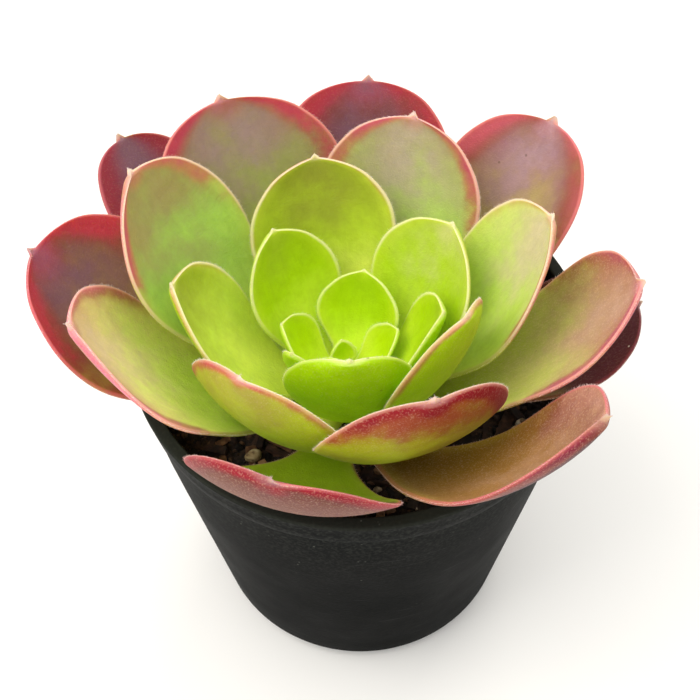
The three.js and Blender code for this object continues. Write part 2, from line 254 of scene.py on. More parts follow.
grain = add_node(
    tree, "ShaderNodeBump", {"Strength": 0.25, "Distance": 0.00012, "Height": fine}
).outputs[0]
grain = add_node(
    tree, "ShaderNodeBump", {"Strength": 0.35, "Distance": 0.0008, "Height": clouds, "Normal": grain}
).outputs[0]
surface = add_node(
    tree,
    "ShaderNodeBsdfPrincipled",
    {"Base Color": skin, "Roughness": satin, "IOR": 1.49, "Specular IOR Level": 0.015, "Normal": grain},
).outputs[0]
add_node(tree, "ShaderNodeOutputMaterial", {0: surface})

pot = mesh_piece("nursery_pot", *turned(pot_profile, POT_SEGMENTS, lift_between_feet), pot_plastic)
cutter_mesh = bmesh.new()
for middle in FOOT_MIDDLES:
    turn = math.radians(middle + 45)
    hole = Vector((HOLE_RING_RADIUS * math.cos(turn), HOLE_RING_RADIUS * math.sin(turn), 0)) * MM
    bmesh.ops.create_cone(
        cutter_mesh, cap_ends=True, segments=40, radius1=HOLE_RADIUS * MM, radius2=HOLE_RADIUS * MM,
        depth=12 * MM, matrix=Matrix.Translation(hole),
    )
drills = bpy.data.objects.new("drills", bpy.data.meshes.new("drills"))
cutter_mesh.to_mesh(drills.data)
cutter_mesh.free()
bpy.context.scene.collection.objects.link(drills)
holes = pot.modifiers.new("drain_holes", "BOOLEAN")
holes.operation = "DIFFERENCE"
holes.solver = "EXACT"
holes.object = drills
applied(pot)
bpy.data.objects.remove(drills)
pot.data.set_sharp_from_angle(angle=math.radians(40))
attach(pot, "root")
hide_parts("pot")

# The potting mix
# Peat and composted bark fill the pot to about 10 mm under the rim. Crumbs, bark slivers and a few
# pale pieces of grit lie loose on top. All of it is dark, damp and dull.

SOIL_LEVEL = 68
SOIL_UNEVENNESS = 0.7
SOIL_WALL_GAP = 0.12


def soil_level(x, y):
    waves = np.sin(x * 0.31 + 1.2) * np.cos(y * 0.27) + 0.6 * np.sin(x * 0.73 - y * 0.55)
    lumps = 0.35 * np.sin(x * 1.9 + 2 * np.sin(y * 1.3)) * np.cos(y * 1.7 - x * 0.6)
    return SOIL_LEVEL + SOIL_UNEVENNESS * (waves + lumps)


def soil_mesh(segments, rings, with_body, wall_gap=SOIL_WALL_GAP):
    """The uneven top of the mix, on rings, and the body under it down to the pot's floor."""
    angles = np.arange(segments) * 2 * math.pi / segments
    reach = inner_radius(SOIL_LEVEL - 2) - wall_gap
    points = [(0, 0, float(soil_level(0, 0)))]
    for ring in range(1, rings + 1):
        radius = reach * ring / rings
        x, y = radius * np.cos(angles), radius * np.sin(angles)
        points += list(zip(x, y, soil_level(x, y)))
    levels = [
        (inner_radius(40) - SOIL_WALL_GAP, 40),
        (inner_radius(7) - SOIL_WALL_GAP, 7),
        (inner_radius(FLOOR_TOP) - 3.2, FLOOR_TOP + 0.15),
    ]
    for radius, level in levels if with_body else []:
        points += [(radius * math.cos(a), radius * math.sin(a), level) for a in angles]
    bands = rings + (len(levels) if with_body else 0)
    faces = []
    for side in range(segments):
        near, far = 1 + side, 1 + (side + 1) % segments
        faces.append((0, near, far))
        for band in range(bands - 1):
            step = band * segments
            faces.append((near + step, near + step + segments, far + step + segments, far + step))
    if with_body:
        points.append((0, 0, levels[-1][1]))
        step = (bands - 1) * segments
        for side in range(segments):
            faces.append((1 + side + step, len(points) - 1, 1 + (side + 1) % segments + step))
    return points, faces


peat, tree = new_material("damp_peat_mix")
# Damp peat is near black with brown fibres, fully dull, and grainy down to under a millimetre.
place = add_node(tree, "ShaderNodeTexCoord").outputs["Object"]
tone = add_node(
    tree, "ShaderNodeTexNoise", {"Vector": place, "Scale": 420, "Detail": 6, "Roughness": 0.7}
).outputs[0]
shade = add_node(
    tree, "ShaderNodeValToRGB", {0: tone},
    [(0.3, "#0d0907"), (0.48, "#20160f"), (0.6, "#3a281b"), (0.72, "#6a4c33")],
).outputs["Color"]
rough = add_node(tree, "ShaderNodeBump", {"Strength": 0.9, "Distance": 0.0006, "Height": tone}).outputs[0]
surface = add_node(
    tree, "ShaderNodeBsdfPrincipled", {"Base Color": shade, "Roughness": 0.92, "Normal": rough}
).outputs[0]
add_node(tree, "ShaderNodeOutputMaterial", {0: surface})

soil = mesh_piece("potting_mix", *soil_mesh(144, 44, True), peat)
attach(soil, "root")
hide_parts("soil")


def loose_bit_material(name, stops, grain_per_m, dullness):
    """A bit's own tone picks its colour, and a noise at its grain breaks the colour up."""
    material, nodes = new_material(name)
    at = add_node(nodes, "ShaderNodeTexCoord").outputs["Object"]
    own = add_node(nodes, "ShaderNodeAttribute", attribute_name="tone").outputs["Fac"]
    grit = add_node(
        nodes, "ShaderNodeTexNoise", {"Vector": at, "Scale": grain_per_m, "Detail": 5}
    ).outputs[0]
    spread = add_node(
        nodes, "ShaderNodeMapRange", {0: grit, 1: 0.3, 2: 0.7, 3: -0.25, 4: 0.25}
    ).outputs[0]
    pick = add_node(
        nodes, "ShaderNodeMath", {0: own, 1: spread}, operation="ADD", use_clamp=True
    ).outputs[0]
    colour = add_node(nodes, "ShaderNodeValToRGB", {0: pick}, stops).outputs["Color"]
    bump = add_node(
        nodes, "ShaderNodeBump", {"Strength": 0.7, "Distance": 0.0003, "Height": grit}
    ).outputs[0]
    out = add_node(
        nodes, "ShaderNodeBsdfPrincipled", {"Base Color": colour, "Roughness": dullness, "Normal": bump}
    ).outputs[0]
    add_node(nodes, "ShaderNodeOutputMaterial", {0: out})
    return material


crumb_skin = loose_bit_material(
    "peat_crumb", [(0.0, "#0e0a08"), (0.45, "#241911"), (0.8, "#45301f"), (1.0, "#70523a")], 900, 0.95
)
bark_skin = loose_bit_material(
    "composted_pine_bark",
    [(0.0, "#1d120b"), (0.4, "#3f2718"), (0.75, "#6d4a2e"), (1.0, "#9c7650")], 700, 0.85
)
grit_skin = loose_bit_material(
    "washed_grit", [(0.0, "#6d5a45"), (0.4, "#a68c6c"), (0.75, "#cdb797"), (1.0, "#e6dac4")], 1100, 0.8
)


def new_geometry_tree(name, inputs):
    """A geometry node tree with a geometry in and out, and the named number inputs."""
    nodes = bpy.data.node_groups.new(name, "GeometryNodeTree")
    nodes.interface.new_socket(name="Geometry", in_out="INPUT", socket_type="NodeSocketGeometry")
    nodes.interface.new_socket(name="Geometry", in_out="OUTPUT", socket_type="NodeSocketGeometry")
    for label in inputs:
        nodes.interface.new_socket(name=label, in_out="INPUT", socket_type="NodeSocketFloat")
    return nodes, add_node(nodes, "NodeGroupInput").outputs


def run_tree(piece, nodes, values):
    """Runs a geometry node tree on a piece with the named values, and keeps the plain result."""
    modifier = piece.modifiers.new("build", "NODES")
    modifier.node_group = nodes
    for item in nodes.interface.items_tree:
        if item.name in values:
            modifier[item.identifier] = values[item.name]
    return applied(piece)


def scatter_tree(name, shape, seed, material):
    """Bits of one kind, strewn on a surface, each turned, sized and toned by its own random draw."""
    nodes, group = new_geometry_tree(name, ["Bits per m2", "Smallest", "Largest", "Sink"])
    strewn = add_node(
        nodes,
        "GeometryNodeDistributePointsOnFaces",
        {"Mesh": group["Geometry"], "Density": group["Bits per m2"], "Seed": seed},
    )
    if shape == "sliver":
        solid = add_node(
            nodes,
            "GeometryNodeMeshCube",
            {"Size": (4.2, 1, 0.55), "Vertices X": 4, "Vertices Y": 2, "Vertices Z": 2},
        ).outputs["Mesh"]
        spin = ((-0.25, -0.25, 0), (0.25, 0.25, 2 * math.pi))
        stretch = ((0.6, 0.6, 0.6), (1.5, 1.3, 1.4))
        scrape = 0.28
    else:
        solid = add_node(
            nodes, "GeometryNodeMeshIcoSphere", {"Radius": 0.6, "Subdivisions": 2}
        ).outputs["Mesh"]
        spin = ((0, 0, 0), (2 * math.pi, 2 * math.pi, 2 * math.pi))
        stretch = ((0.6, 0.5, 0.45), (1.3, 1.1, 0.95))
        scrape = 0.55
    wobble = add_node(nodes, "ShaderNodeTexNoise", {"Scale": 1.3, "Detail": 2}).outputs["Color"]
    wobble = add_node(
        nodes, "ShaderNodeVectorMath", {0: wobble, 1: (0.5, 0.5, 0.5)}, operation="SUBTRACT"
    ).outputs[0]
    wobble = add_node(
        nodes, "ShaderNodeVectorMath", {0: wobble, "Scale": 2 * scrape}, operation="SCALE"
    ).outputs[0]
    solid = add_node(nodes, "GeometryNodeSetPosition", {"Geometry": solid, "Offset": wobble}).outputs[0]
    turned_by = add_node(
        nodes,
        "FunctionNodeRandomValue",
        {0: spin[0], 1: spin[1], "Seed": seed + 1},
        data_type="FLOAT_VECTOR",
    ).outputs[0]
    shape_of = add_node(
        nodes,
        "FunctionNodeRandomValue",
        {0: stretch[0], 1: stretch[1], "Seed": seed + 2},
        data_type="FLOAT_VECTOR",
    ).outputs[0]
    size = add_node(
        nodes,
        "FunctionNodeRandomValue",
        {2: group["Smallest"], 3: group["Largest"], "Seed": seed + 3},
        data_type="FLOAT",
    ).outputs[1]
    size = add_node(
        nodes, "ShaderNodeVectorMath", {0: shape_of, "Scale": size}, operation="SCALE"
    ).outputs[0]
    bits = add_node(
        nodes,
        "GeometryNodeInstanceOnPoints",
        {"Points": strewn.outputs["Points"], "Instance": solid, "Rotation": turned_by, "Scale": size},
    ).outputs[0]
    sunk = add_node(nodes, "ShaderNodeCombineXYZ", {"Z": group["Sink"]}).outputs[0]
    bits = add_node(nodes, "GeometryNodeSetPosition", {"Geometry": bits, "Offset": sunk}).outputs[0]
    tone_of = add_node(nodes, "FunctionNodeRandomValue", {"Seed": seed + 4}, data_type="FLOAT").outputs[1]
    bits = add_node(
        nodes,
        "GeometryNodeStoreNamedAttribute",
        {"Geometry": bits, "Name": "tone", "Value": tone_of},
        data_type="FLOAT",
        domain="INSTANCE",
    ).outputs[0]
    bits = add_node(nodes, "GeometryNodeRealizeInstances", {0: bits}).outputs[0]
    bits = add_node(nodes, "GeometryNodeSetMaterial", {"Geometry": bits, "Material": material}).outputs[0]
    add_node(nodes, "NodeGroupOutput", {0: bits})
    return nodes


def strew(name, shape, seed, material, wall_gap, per_square_metre, smallest_mm, largest_mm, sink_mm):
    bits = mesh_piece(name, *soil_mesh(60, 14, False, wall_gap), material)
    nodes = scatter_tree(name, shape, seed, material)
    run_tree(
        bits,
        nodes,
        {
            "Bits per m2": per_square_metre,
            "Smallest": smallest_mm * MM,
            "Largest": largest_mm * MM,
            "Sink": sink_mm * MM,
        },
    )
    bits.data.polygons.foreach_set("use_smooth", np.zeros(len(bits.data.polygons), bool))
    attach(bits, "root")
    return bits


strew("soil_crumbs", "crumb", 11, crumb_skin, 1.6, 260000, 0.7, 2.2, 0.1)
strew("soil_bark", "sliver", 23, bark_skin, 5.5, 62000, 0.8, 1.9, 0.5)
strew("soil_grit", "crumb", 37, grit_skin, 2.5, 9000, 0.8, 2.4, 0.4)

# The pale bits on the mix
# A rounded tan pebble at the left front and a flat chip of pale bark at the right lie on the mix,
# where two gaps between the leaves show them.


def loose_stone(name, at_xy, size_mm, turn_degrees, seed):
    """A lumpy rounded bit of the given length, width and height that lies on the crumbs."""
    lump = bmesh.new()
    bmesh.ops.create_icosphere(lump, subdivisions=4, radius=0.5)
    shift = np.random.default_rng(seed).uniform(0, 6, 3)
    turn = math.radians(turn_degrees)
    centre_height = float(soil_level(*at_xy)) + size_mm[2] / 2 + 0.7
    points = []
    for corner_of_lump in lump.verts:
        x, y, z = corner_of_lump.co
        waves = math.sin(7 * x + shift[0]) + math.sin(8 * y + shift[1]) + math.sin(9 * z + shift[2])
        swell = 1 + 0.08 * waves
        x, y, z = x * size_mm[0] * swell, y * size_mm[1] * swell, z * size_mm[2] * swell
        points.append((
            at_xy[0] + x * math.cos(turn) - y * math.sin(turn),
            at_xy[1] + x * math.sin(turn) + y * math.cos(turn),
            centre_height + z,
        ))
    faces = [[corner_of_face.index for corner_of_face in face.verts] for face in lump.faces]
    lump.free()
    stone = mesh_piece(name, points, faces, pale_stone)
    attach(stone, "root")


pale_stone, tree = new_material("weathered_tan_stone")
# Dull tan stone and old bark, dusted with peat in patches.
place = add_node(tree, "ShaderNodeTexCoord").outputs["Object"]
stain = add_node(tree, "ShaderNodeTexNoise", {"Vector": place, "Scale": 700, "Detail": 5}).outputs[0]
tan = add_node(
    tree, "ShaderNodeValToRGB", {0: stain},
    [(0.32, "#64503a"), (0.46, "#a48c60"), (0.7, "#cabb90")],
).outputs["Color"]
rough = add_node(
    tree, "ShaderNodeBump", {"Strength": 0.4, "Distance": 0.0002, "Height": stain}
).outputs[0]
surface = add_node(
    tree, "ShaderNodeBsdfPrincipled", {"Base Color": tan, "Roughness": 0.85, "Normal": rough}
).outputs[0]
add_node(tree, "ShaderNodeOutputMaterial", {0: surface})
loose_stone("tan_pebble", (-20.5, -23), (3.4, 2.6, 2.2), 20, 3)
loose_stone("pale_bark_chip", (33, -17), (6.5, 2.2, 1.4), 8, 8)

# The stem
# A short woody stem, hidden under the rosette. It is dry and tan, ringed with the scars of shed leaves.

CROWN = np.array([-2.5, -14, 71])
CROWN_LEAN = math.radians(-8)
CROWN_HEIGHT = 11.5
CROWN_RADIUS = 11
STEM_RADIUS = 5.2


def on_crown(points):
    """Leans points about the crown's X axis and moves them from the stem's frame to the pot's."""
    y = points[..., 1] * math.cos(CROWN_LEAN) - points[..., 2] * math.sin(CROWN_LEAN)
    z = points[..., 1] * math.sin(CROWN_LEAN) + points[..., 2] * math.cos(CROWN_LEAN)
    return np.stack([points[..., 0], y, z], -1) + CROWN


stem_bark, tree = new_material("aeonium_stem_bark")
# Corky tan skin with darker leaf scars about 2 mm apart.
place = add_node(tree, "ShaderNodeTexCoord").outputs["Object"]
flat = add_node(tree, "ShaderNodeMapping", {"Vector": place, "Scale": (200, 200, 520)}).outputs[0]
cork = add_node(tree, "ShaderNodeTexNoise", {"Vector": flat, "Scale": 1, "Detail": 5}).outputs[0]
tan = add_node(
    tree, "ShaderNodeValToRGB", {0: cork},
    [(0.32, "#4a3b26"), (0.5, "#7c6a45"), (0.68, "#a39468")],
).outputs["Color"]
rough = add_node(tree, "ShaderNodeBump", {"Strength": 0.8, "Distance": 0.0005, "Height": cork}).outputs[0]
surface = add_node(
    tree, "ShaderNodeBsdfPrincipled", {"Base Color": tan, "Roughness": 0.8, "Normal": rough}
).outputs[0]
add_node(tree, "ShaderNodeOutputMaterial", {0: surface})

stem_profile = [(0, -14), (STEM_RADIUS - 1, -14), (STEM_RADIUS, -12)]
for share in np.linspace(1, 0.1, 28):
    radius = max(0.8, min(STEM_RADIUS, CROWN_RADIUS * share ** 0.75 - 2.2))
    scar = 0.22 * math.sin(share * 42)
    stem_profile.append((radius + scar * (radius > 1), CROWN_HEIGHT * (1 - share)))
stem_profile.append((0, CROWN_HEIGHT * 0.92))
stem_points, stem_faces = turned(stem_profile, 40)
stem = mesh_piece("woody_stem", on_crown(stem_points), stem_faces, stem_bark)
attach(stem, "root")
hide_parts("stem")

# The leaves
# 29 fleshy spoon-shaped leaves stand on the stem one golden angle apart. A leaf is a shallow trough
# about 2 mm thick, widest past its middle, with a bead along its margin and a short soft point.
# Young leaves are lime green and translucent. Older ones turn olive, then rose and wine red from
# their margins and tips, and all of them carry a fine white down.

GOLDEN_ANGLE = 137.508
OLDEST_LEAF = 30
LOST_LEAVES = (28,)
LEAF_COLUMNS = 30

DEPARTURES = {
    2: {"length": -2.3, "width": -0.3},
    3: {"turn": -18, "pitch": -10.7, "width": 1},
    4: {"turn": 9, "pitch": -3.8, "width": 2.5},
    5: {"turn": -16, "length": -11, "width": -8.5},
    6: {"turn": -8, "length": -2},
    7: {"turn": 16, "pitch": -2, "width": -9.1, "length": -1.3, "root_height": -0.05},
    8: {"turn": -8, "length": -1.5, "width": 2.4, "pitch": -4, "root_height": 0.32},
    9: {"turn": -1, "length": 0.8, "width": -0.8, "root_height": 0.1},
    10: {"turn": 2, "length": 2, "curl": 26, "cup": 9, "arch": -0.2, "widest": 0.08, "root_height": -0.1},
    11: {"turn": -13.8, "length": 0.4, "width": 2, "pitch": -2, "root_height": -0.45},
    12: {"turn": 1.5, "length": 2, "pitch": -7, "width": 1, "roll": -5},
    13: {"turn": -2, "length": 1.3, "width": -1.6, "pitch": 3, "curl": 14, "roll": 2, "root_height": -0.5},
    15: {"turn": 1, "length": -1, "pitch": -3, "curl": 34, "width": 1, "roll": -2, "root_height": -0.1},
    16: {"turn": -6, "length": 3, "pitch": -2, "root_height": -0.6},
    17: {"turn": 5, "length": 6, "pitch": -1, "width": 3, "root_height": 0.2},
    18: {"turn": 2, "length": -3, "width": 2, "pitch": -1, "curl": 30, "roll": -4, "root_height": -0.1},
    19: {"turn": 2, "length": -1},
    20: {"turn": -4, "pitch": -5, "width": 1},
    21: {"turn": 6, "pitch": -4, "length": 1, "width": -2.5, "widest": 0.03, "root_height": -0.3},
    22: {"turn": -2.2, "width": 5.5, "length": 0.8},
    23: {"turn": -4, "length": -15.5, "width": 3, "pitch": -5, "curl": 53},
    24: {"turn": 7, "width": -2.5, "widest": 0.03},
    25: {"turn": -5, "length": -4.5, "pitch": -8, "width": 6.5},
    26: {"turn": -12, "length": -0.5, "width": -6, "pitch": 3, "curl": 20, "cup": 10, "bend": 43,
         "roll": -8},
    27: {"turn": -3, "length": -1.5, "pitch": -2, "width": 1, "root_height": 0.5},
    29: {"turn": 5, "length": -18, "width": -7, "pitch": -8, "root_height": 1},
    30: {"turn": -7, "length": -3, "width": -10, "pitch": 1},
}


def smooth(start, end, value):
    t = np.clip((value - start) / (end - start), 0, 1)
    return t * t * (3 - 2 * t)


def leaf_rule(age):
    """A leaf's sizes from its age: millimetres, and degrees for its angles."""
    share = age / OLDEST_LEAF
    ages = [1, 2, 3, 4, 6, 9, 12, 15, 18, 21, 24, 27, 30]
    pitches = [84, 72, 62, 58, 62, 60, 58, 55, 51, 46, 41, 35, 29]
    leaf = {
        "turn": 113 + GOLDEN_ANGLE * (age - 1),
        "length": 4 + 65 * (1 - (1 - share) ** 1.45),
        "width": 3 + 34 * (1 - (1 - share) ** 2.4),
        "pitch": float(np.interp(age, ages, pitches)),
        "curl": float(np.interp(age, [1, 10, 20, 30], [30, 45, 42, 25])),
        "cup": float(np.interp(age, [1, 10, 20, 30], [40, 32, 26, 20])),
        "roll": 0,
        "bend": 0,
        "thickness": 2 * (0.55 + 0.45 * float(smooth(0, 12, age))),
        "root_radius": CROWN_RADIUS * share ** 0.75,
        "root_height": 0.5 + CROWN_HEIGHT * (1 - share),
        "waist": float(np.interp(age, [1, 6, 12, 18, 30], [0.55, 0.36, 0.26, 0.22, 0.2])),
        "widest": float(np.interp(age, [1, 6, 12, 18, 30], [0.5, 0.56, 0.62, 0.66, 0.68])),
        "arch": float(np.interp(age, [1, 6, 12, 17, 30], [0.85, 0.72, 0.6, 0.52, 0.5])),
    }
    for name, change in DEPARTURES.get(age, {}).items():
        leaf[name] += change
    return leaf


# The point takes up the last part of a leaf, and widens at a steady slope from its tip
POINT = 0.022
POINT_SLOPE = 3.2


def outline(leaf, place):
    """Half-width of the blade, as a share of the widest, at places along it from 0 to 1."""
    body = leaf["waist"] + (1 - leaf["waist"]) * (0.5 - 0.5 * np.cos(np.pi * place / leaf["widest"]))
    v = np.clip((place - leaf["widest"]) / (1 - POINT - leaf["widest"]), 0, 1)
    end = np.maximum(0, 1 - v ** 2.2) ** leaf["arch"]
    left = np.maximum(0, 1 - place)
    tip = POINT_SLOPE * left * smooth(0.5, 0.95, v)
    return np.where(place < leaf["widest"], body, (end ** 2.2 + tip ** 2.2) ** (1 / 2.2))


def midrib(leaf, place):
    """Centre line, side and upward directions at places along a leaf, in the stem's frame."""
    steps = np.linspace(0, 1, 801)

    def heading(s):
        pitch = np.radians(leaf["pitch"] + leaf["curl"] * (s - 0.5))
        bend = np.radians(leaf["bend"] * s)
        return np.stack([np.cos(pitch) * np.cos(bend), np.cos(pitch) * np.sin(bend), np.sin(pitch)], -1)

    stretch = heading((steps[1:] + steps[:-1]) / 2) * leaf["length"] * np.diff(steps)[:, None]
    line = np.vstack([[0, 0, 0], np.cumsum(stretch, 0)])
    centre = np.stack([np.interp(place, steps, line[:, axis]) for axis in range(3)], -1)
    centre += (leaf["root_radius"], 0, leaf["root_height"])
    bend = np.radians(leaf["bend"] * place)
    side = np.stack([-np.sin(bend), np.cos(bend), np.zeros_like(bend)], -1)
    up = np.cross(heading(place), side)
    roll = (np.radians(leaf["roll"]) * smooth(0, 0.6, place))[:, None]
    side, up = side * np.cos(roll) + up * np.sin(roll), up * np.cos(roll) - side * np.sin(roll)
    return centre, side, up


def leaf_places(leaf):
    """Places of the rows of points: even along the blade, closer in the round end and the tip."""
    end_turns = np.linspace(0, math.pi / 2, 27)[:-1]
    widest = leaf["widest"]
    return np.concatenate([
        np.linspace(0, widest, 26)[:-1],
        widest + (1 - POINT - widest) * np.sin(end_turns) ** (1 / 1.1),
        1 - POINT * (1 - np.linspace(0, 1, 13)[:-1] ** 1.1),
    ])


def leaf_mesh(age):
    """Points, faces and painted fields of one leaf, in millimetres in the pot's frame."""
    leaf = leaf_rule(age)
    places = leaf_places(leaf)
    centre, side, up = midrib(leaf, places)
    across = np.sin(np.linspace(-0.5, 0.5, LEAF_COLUMNS + 1) * math.pi)
    ring_across = np.concatenate([across, across[-2:0:-1]])
    ring_face = np.concatenate([np.ones(LEAF_COLUMNS + 1), -np.ones(LEAF_COLUMNS - 1)])
    place, a = np.meshgrid(places, ring_across, indexing="ij")
    face = np.broadcast_to(ring_face, place.shape)
    half_width = np.maximum(0.12, leaf["width"] / 2 * outline(leaf, place))
    cup = np.radians(leaf["cup"]) * (0.55 + 0.45 * smooth(0, 0.6, place))
    angle = cup * a
    normal = np.cos(angle)[..., None] * up[:, None] - np.sin(angle)[..., None] * side[:, None]
    body = leaf["thickness"] * (1.25 - 0.55 * smooth(0, 0.8, place))
    taper = np.sqrt(np.minimum(1, half_width / (0.12 * leaf["width"])))
    thickness = np.maximum(0.6, body * (1 - 0.55 * a ** 2)) * taper
    inset = half_width * (1 - np.abs(a))
    bead = np.maximum(0.25, 0.25 * body * taper)
    cap = np.sqrt(1 - (1 - np.minimum(1, inset / bead)) ** 2)
    offset = thickness * (-0.15 + 0.5 * face * cap)
    ripple = 0.02 * leaf["width"] * smooth(10, 20, age) * np.abs(a) ** 2 * smooth(0.2, 0.6, place)
    offset += ripple * np.sin(9 * place + 1.7 * age + 1.4 * np.sign(a))
    points = centre[:, None] + side[:, None] * (half_width * np.sin(angle) / cup)[..., None]
    points = points + up[:, None] * (half_width * (1 - np.cos(angle)) / cup)[..., None]
    points = points + normal * offset[..., None]
    tip = midrib(leaf, np.array([1.0]))[0]
    points = np.vstack([points.reshape(-1, 3), tip])
    turn = math.radians(leaf["turn"])
    x = points[:, 0] * math.cos(turn) - points[:, 1] * math.sin(turn)
    y = points[:, 0] * math.sin(turn) + points[:, 1] * math.cos(turn)
    points = on_crown(np.stack([x, y, points[:, 2]], -1))
    rows, ring = place.shape
    here = np.arange(ring)
    there = (here + 1) % ring
    faces = []
    for row in range(rows - 1):
        low, high_row = row * ring, (row + 1) * ring
        faces += np.stack([low + here, high_row + here, high_row + there, low + there], -1).tolist()
    last = (rows - 1) * ring
    faces += [(last + h, rows * ring, last + t) for h, t in zip(here.tolist(), there.tolist())]
    faces.append(here.tolist())
    apex = np.linalg.norm(points[:-1] - points[-1], axis=1).reshape(place.shape)
    fields = {
        "along": np.append(place, 1),
        "across": np.append(a, 0),
        "inset": np.append(np.minimum(inset, apex), 0),
        "under": np.append((1 - face * np.minimum(1, cap * 1.2)) / 2, 0.5),
    }
    grid = points[:-1].reshape(rows, ring, 3)
    margins = []
    edges = ((0, 1, ring - 1), (LEAF_COLUMNS, LEAF_COLUMNS - 1, LEAF_COLUMNS + 1))
    for column, up_next, down_next in edges:
        edge = grid[:, column]
        outward = edge - (grid[:, up_next] + grid[:, down_next]) / 2
        margins.append((edge, outward / np.linalg.norm(outward, axis=1)[:, None]))
    ahead = points[-1] - grid[-3].mean(0)
    tip_row = (points[-1:], (ahead / np.linalg.norm(ahead))[None])
    margin = [np.vstack([margins[0][i], tip_row[i], margins[1][i][::-1]]) for i in range(2)]
    return points, faces, fields, margin


# Root colours are partly the paler leaf base and partly painted glow of light through the young flesh
COLOUR_NAMES = ("root", "blade", "end", "bloom", "under", "margin", "first_red", "rose")
COLOURS_BY_AGE = {
    1: ("#d4ec34", "#bcdc00", "#b0d400", "#a4b43c", "#b0d400", "#e8f09c", "#c8b060", "#cc8070"),
    6: ("#d4f038", "#b0d400", "#a4c800", "#a4b43c", "#a8d000", "#eaeea8", "#c8b060", "#cc8070"),
    10: ("#e0f44c", "#acd004", "#a0b81c", "#a8b44c", "#a4cc00", "#f0eab4", "#c8a858", "#cc8070"),
    14: ("#f0f470", "#b4cc2c", "#98a42c", "#909034", "#a8c808", "#f2e0bc", "#bc9850", "#cc7070"),
    17: ("#dcec70", "#b0cc50", "#949c54", "#a09860", "#a4b418", "#f0ccb8", "#b88858", "#c45c68"),
    19: ("#cce870", "#b4c468", "#b0a074", "#b4a48c", "#94842c", "#ecb4ac", "#b07c54", "#bc5468"),
    22: ("#a8c454", "#9c985c", "#98806c", "#9c8484", "#96704a", "#dc8488", "#a06c50", "#b84458"),
    25: ("#a89c40", "#a08040", "#744850", "#78586c", "#8c5448", "#d06c78", "#8c4434", "#b43444"),
    30: ("#786044", "#6c4448", "#5c343c", "#745864", "#5c3030", "#b05c6c", "#602c34", "#882838"),
}
# How far the red reaches back from the tip, how strong and how many mm wide it is along the margin,
# how much grey bloom lies on the blade, and the red's strength and width under the leaf
AMOUNT_NAMES = ("tip_flush", "edge_flush", "edge_reach", "bloom_share", "under_flush", "under_reach")
AMOUNTS_BY_AGE = {
    1: (0.0, 0.0, 0.6, 0.0, 0.0, 1.0),
    10: (0.0, 0.05, 0.7, 0.2, 0.1, 1.0),
    14: (0.0, 0.4, 1.2, 0.55, 0.8, 1.6),
    17: (0.05, 0.85, 2.4, 0.6, 0.9, 2.6),
    19: (0.1, 0.9, 3.0, 0.7, 1.0, 3.6),
    22: (0.15, 0.95, 4.6, 0.75, 1.0, 4.4),
    25: (0.25, 1.0, 6.5, 0.8, 1.0, 5.0),
    30: (0.5, 1.0, 7.0, 0.85, 1.0, 6.0),
}


def mixed_hex(first, second, share):
    pairs = [(int(first[i:i + 2], 16), int(second[i:i + 2], 16)) for i in (1, 3, 5)]
    return "#" + "".join(f"{round(a + (b - a) * share):02x}" for a, b in pairs)


def by_age(table, age):
    """A row of values for an age between the table's ages, numbers and hex colours alike."""
    ages = sorted(table)
    upper = min(a for a in ages if a >= age)
    lower = max(a for a in ages if a <= age)
    share = 0 if upper == lower else (age - lower) / (upper - lower)
    mixed = []
    for first, second in zip(table[lower], table[upper]):
        if isinstance(first, str):
            mixed.append(mixed_hex(first, second, share))
        else:
            mixed.append(first + (second - first) * share)
    return mixed


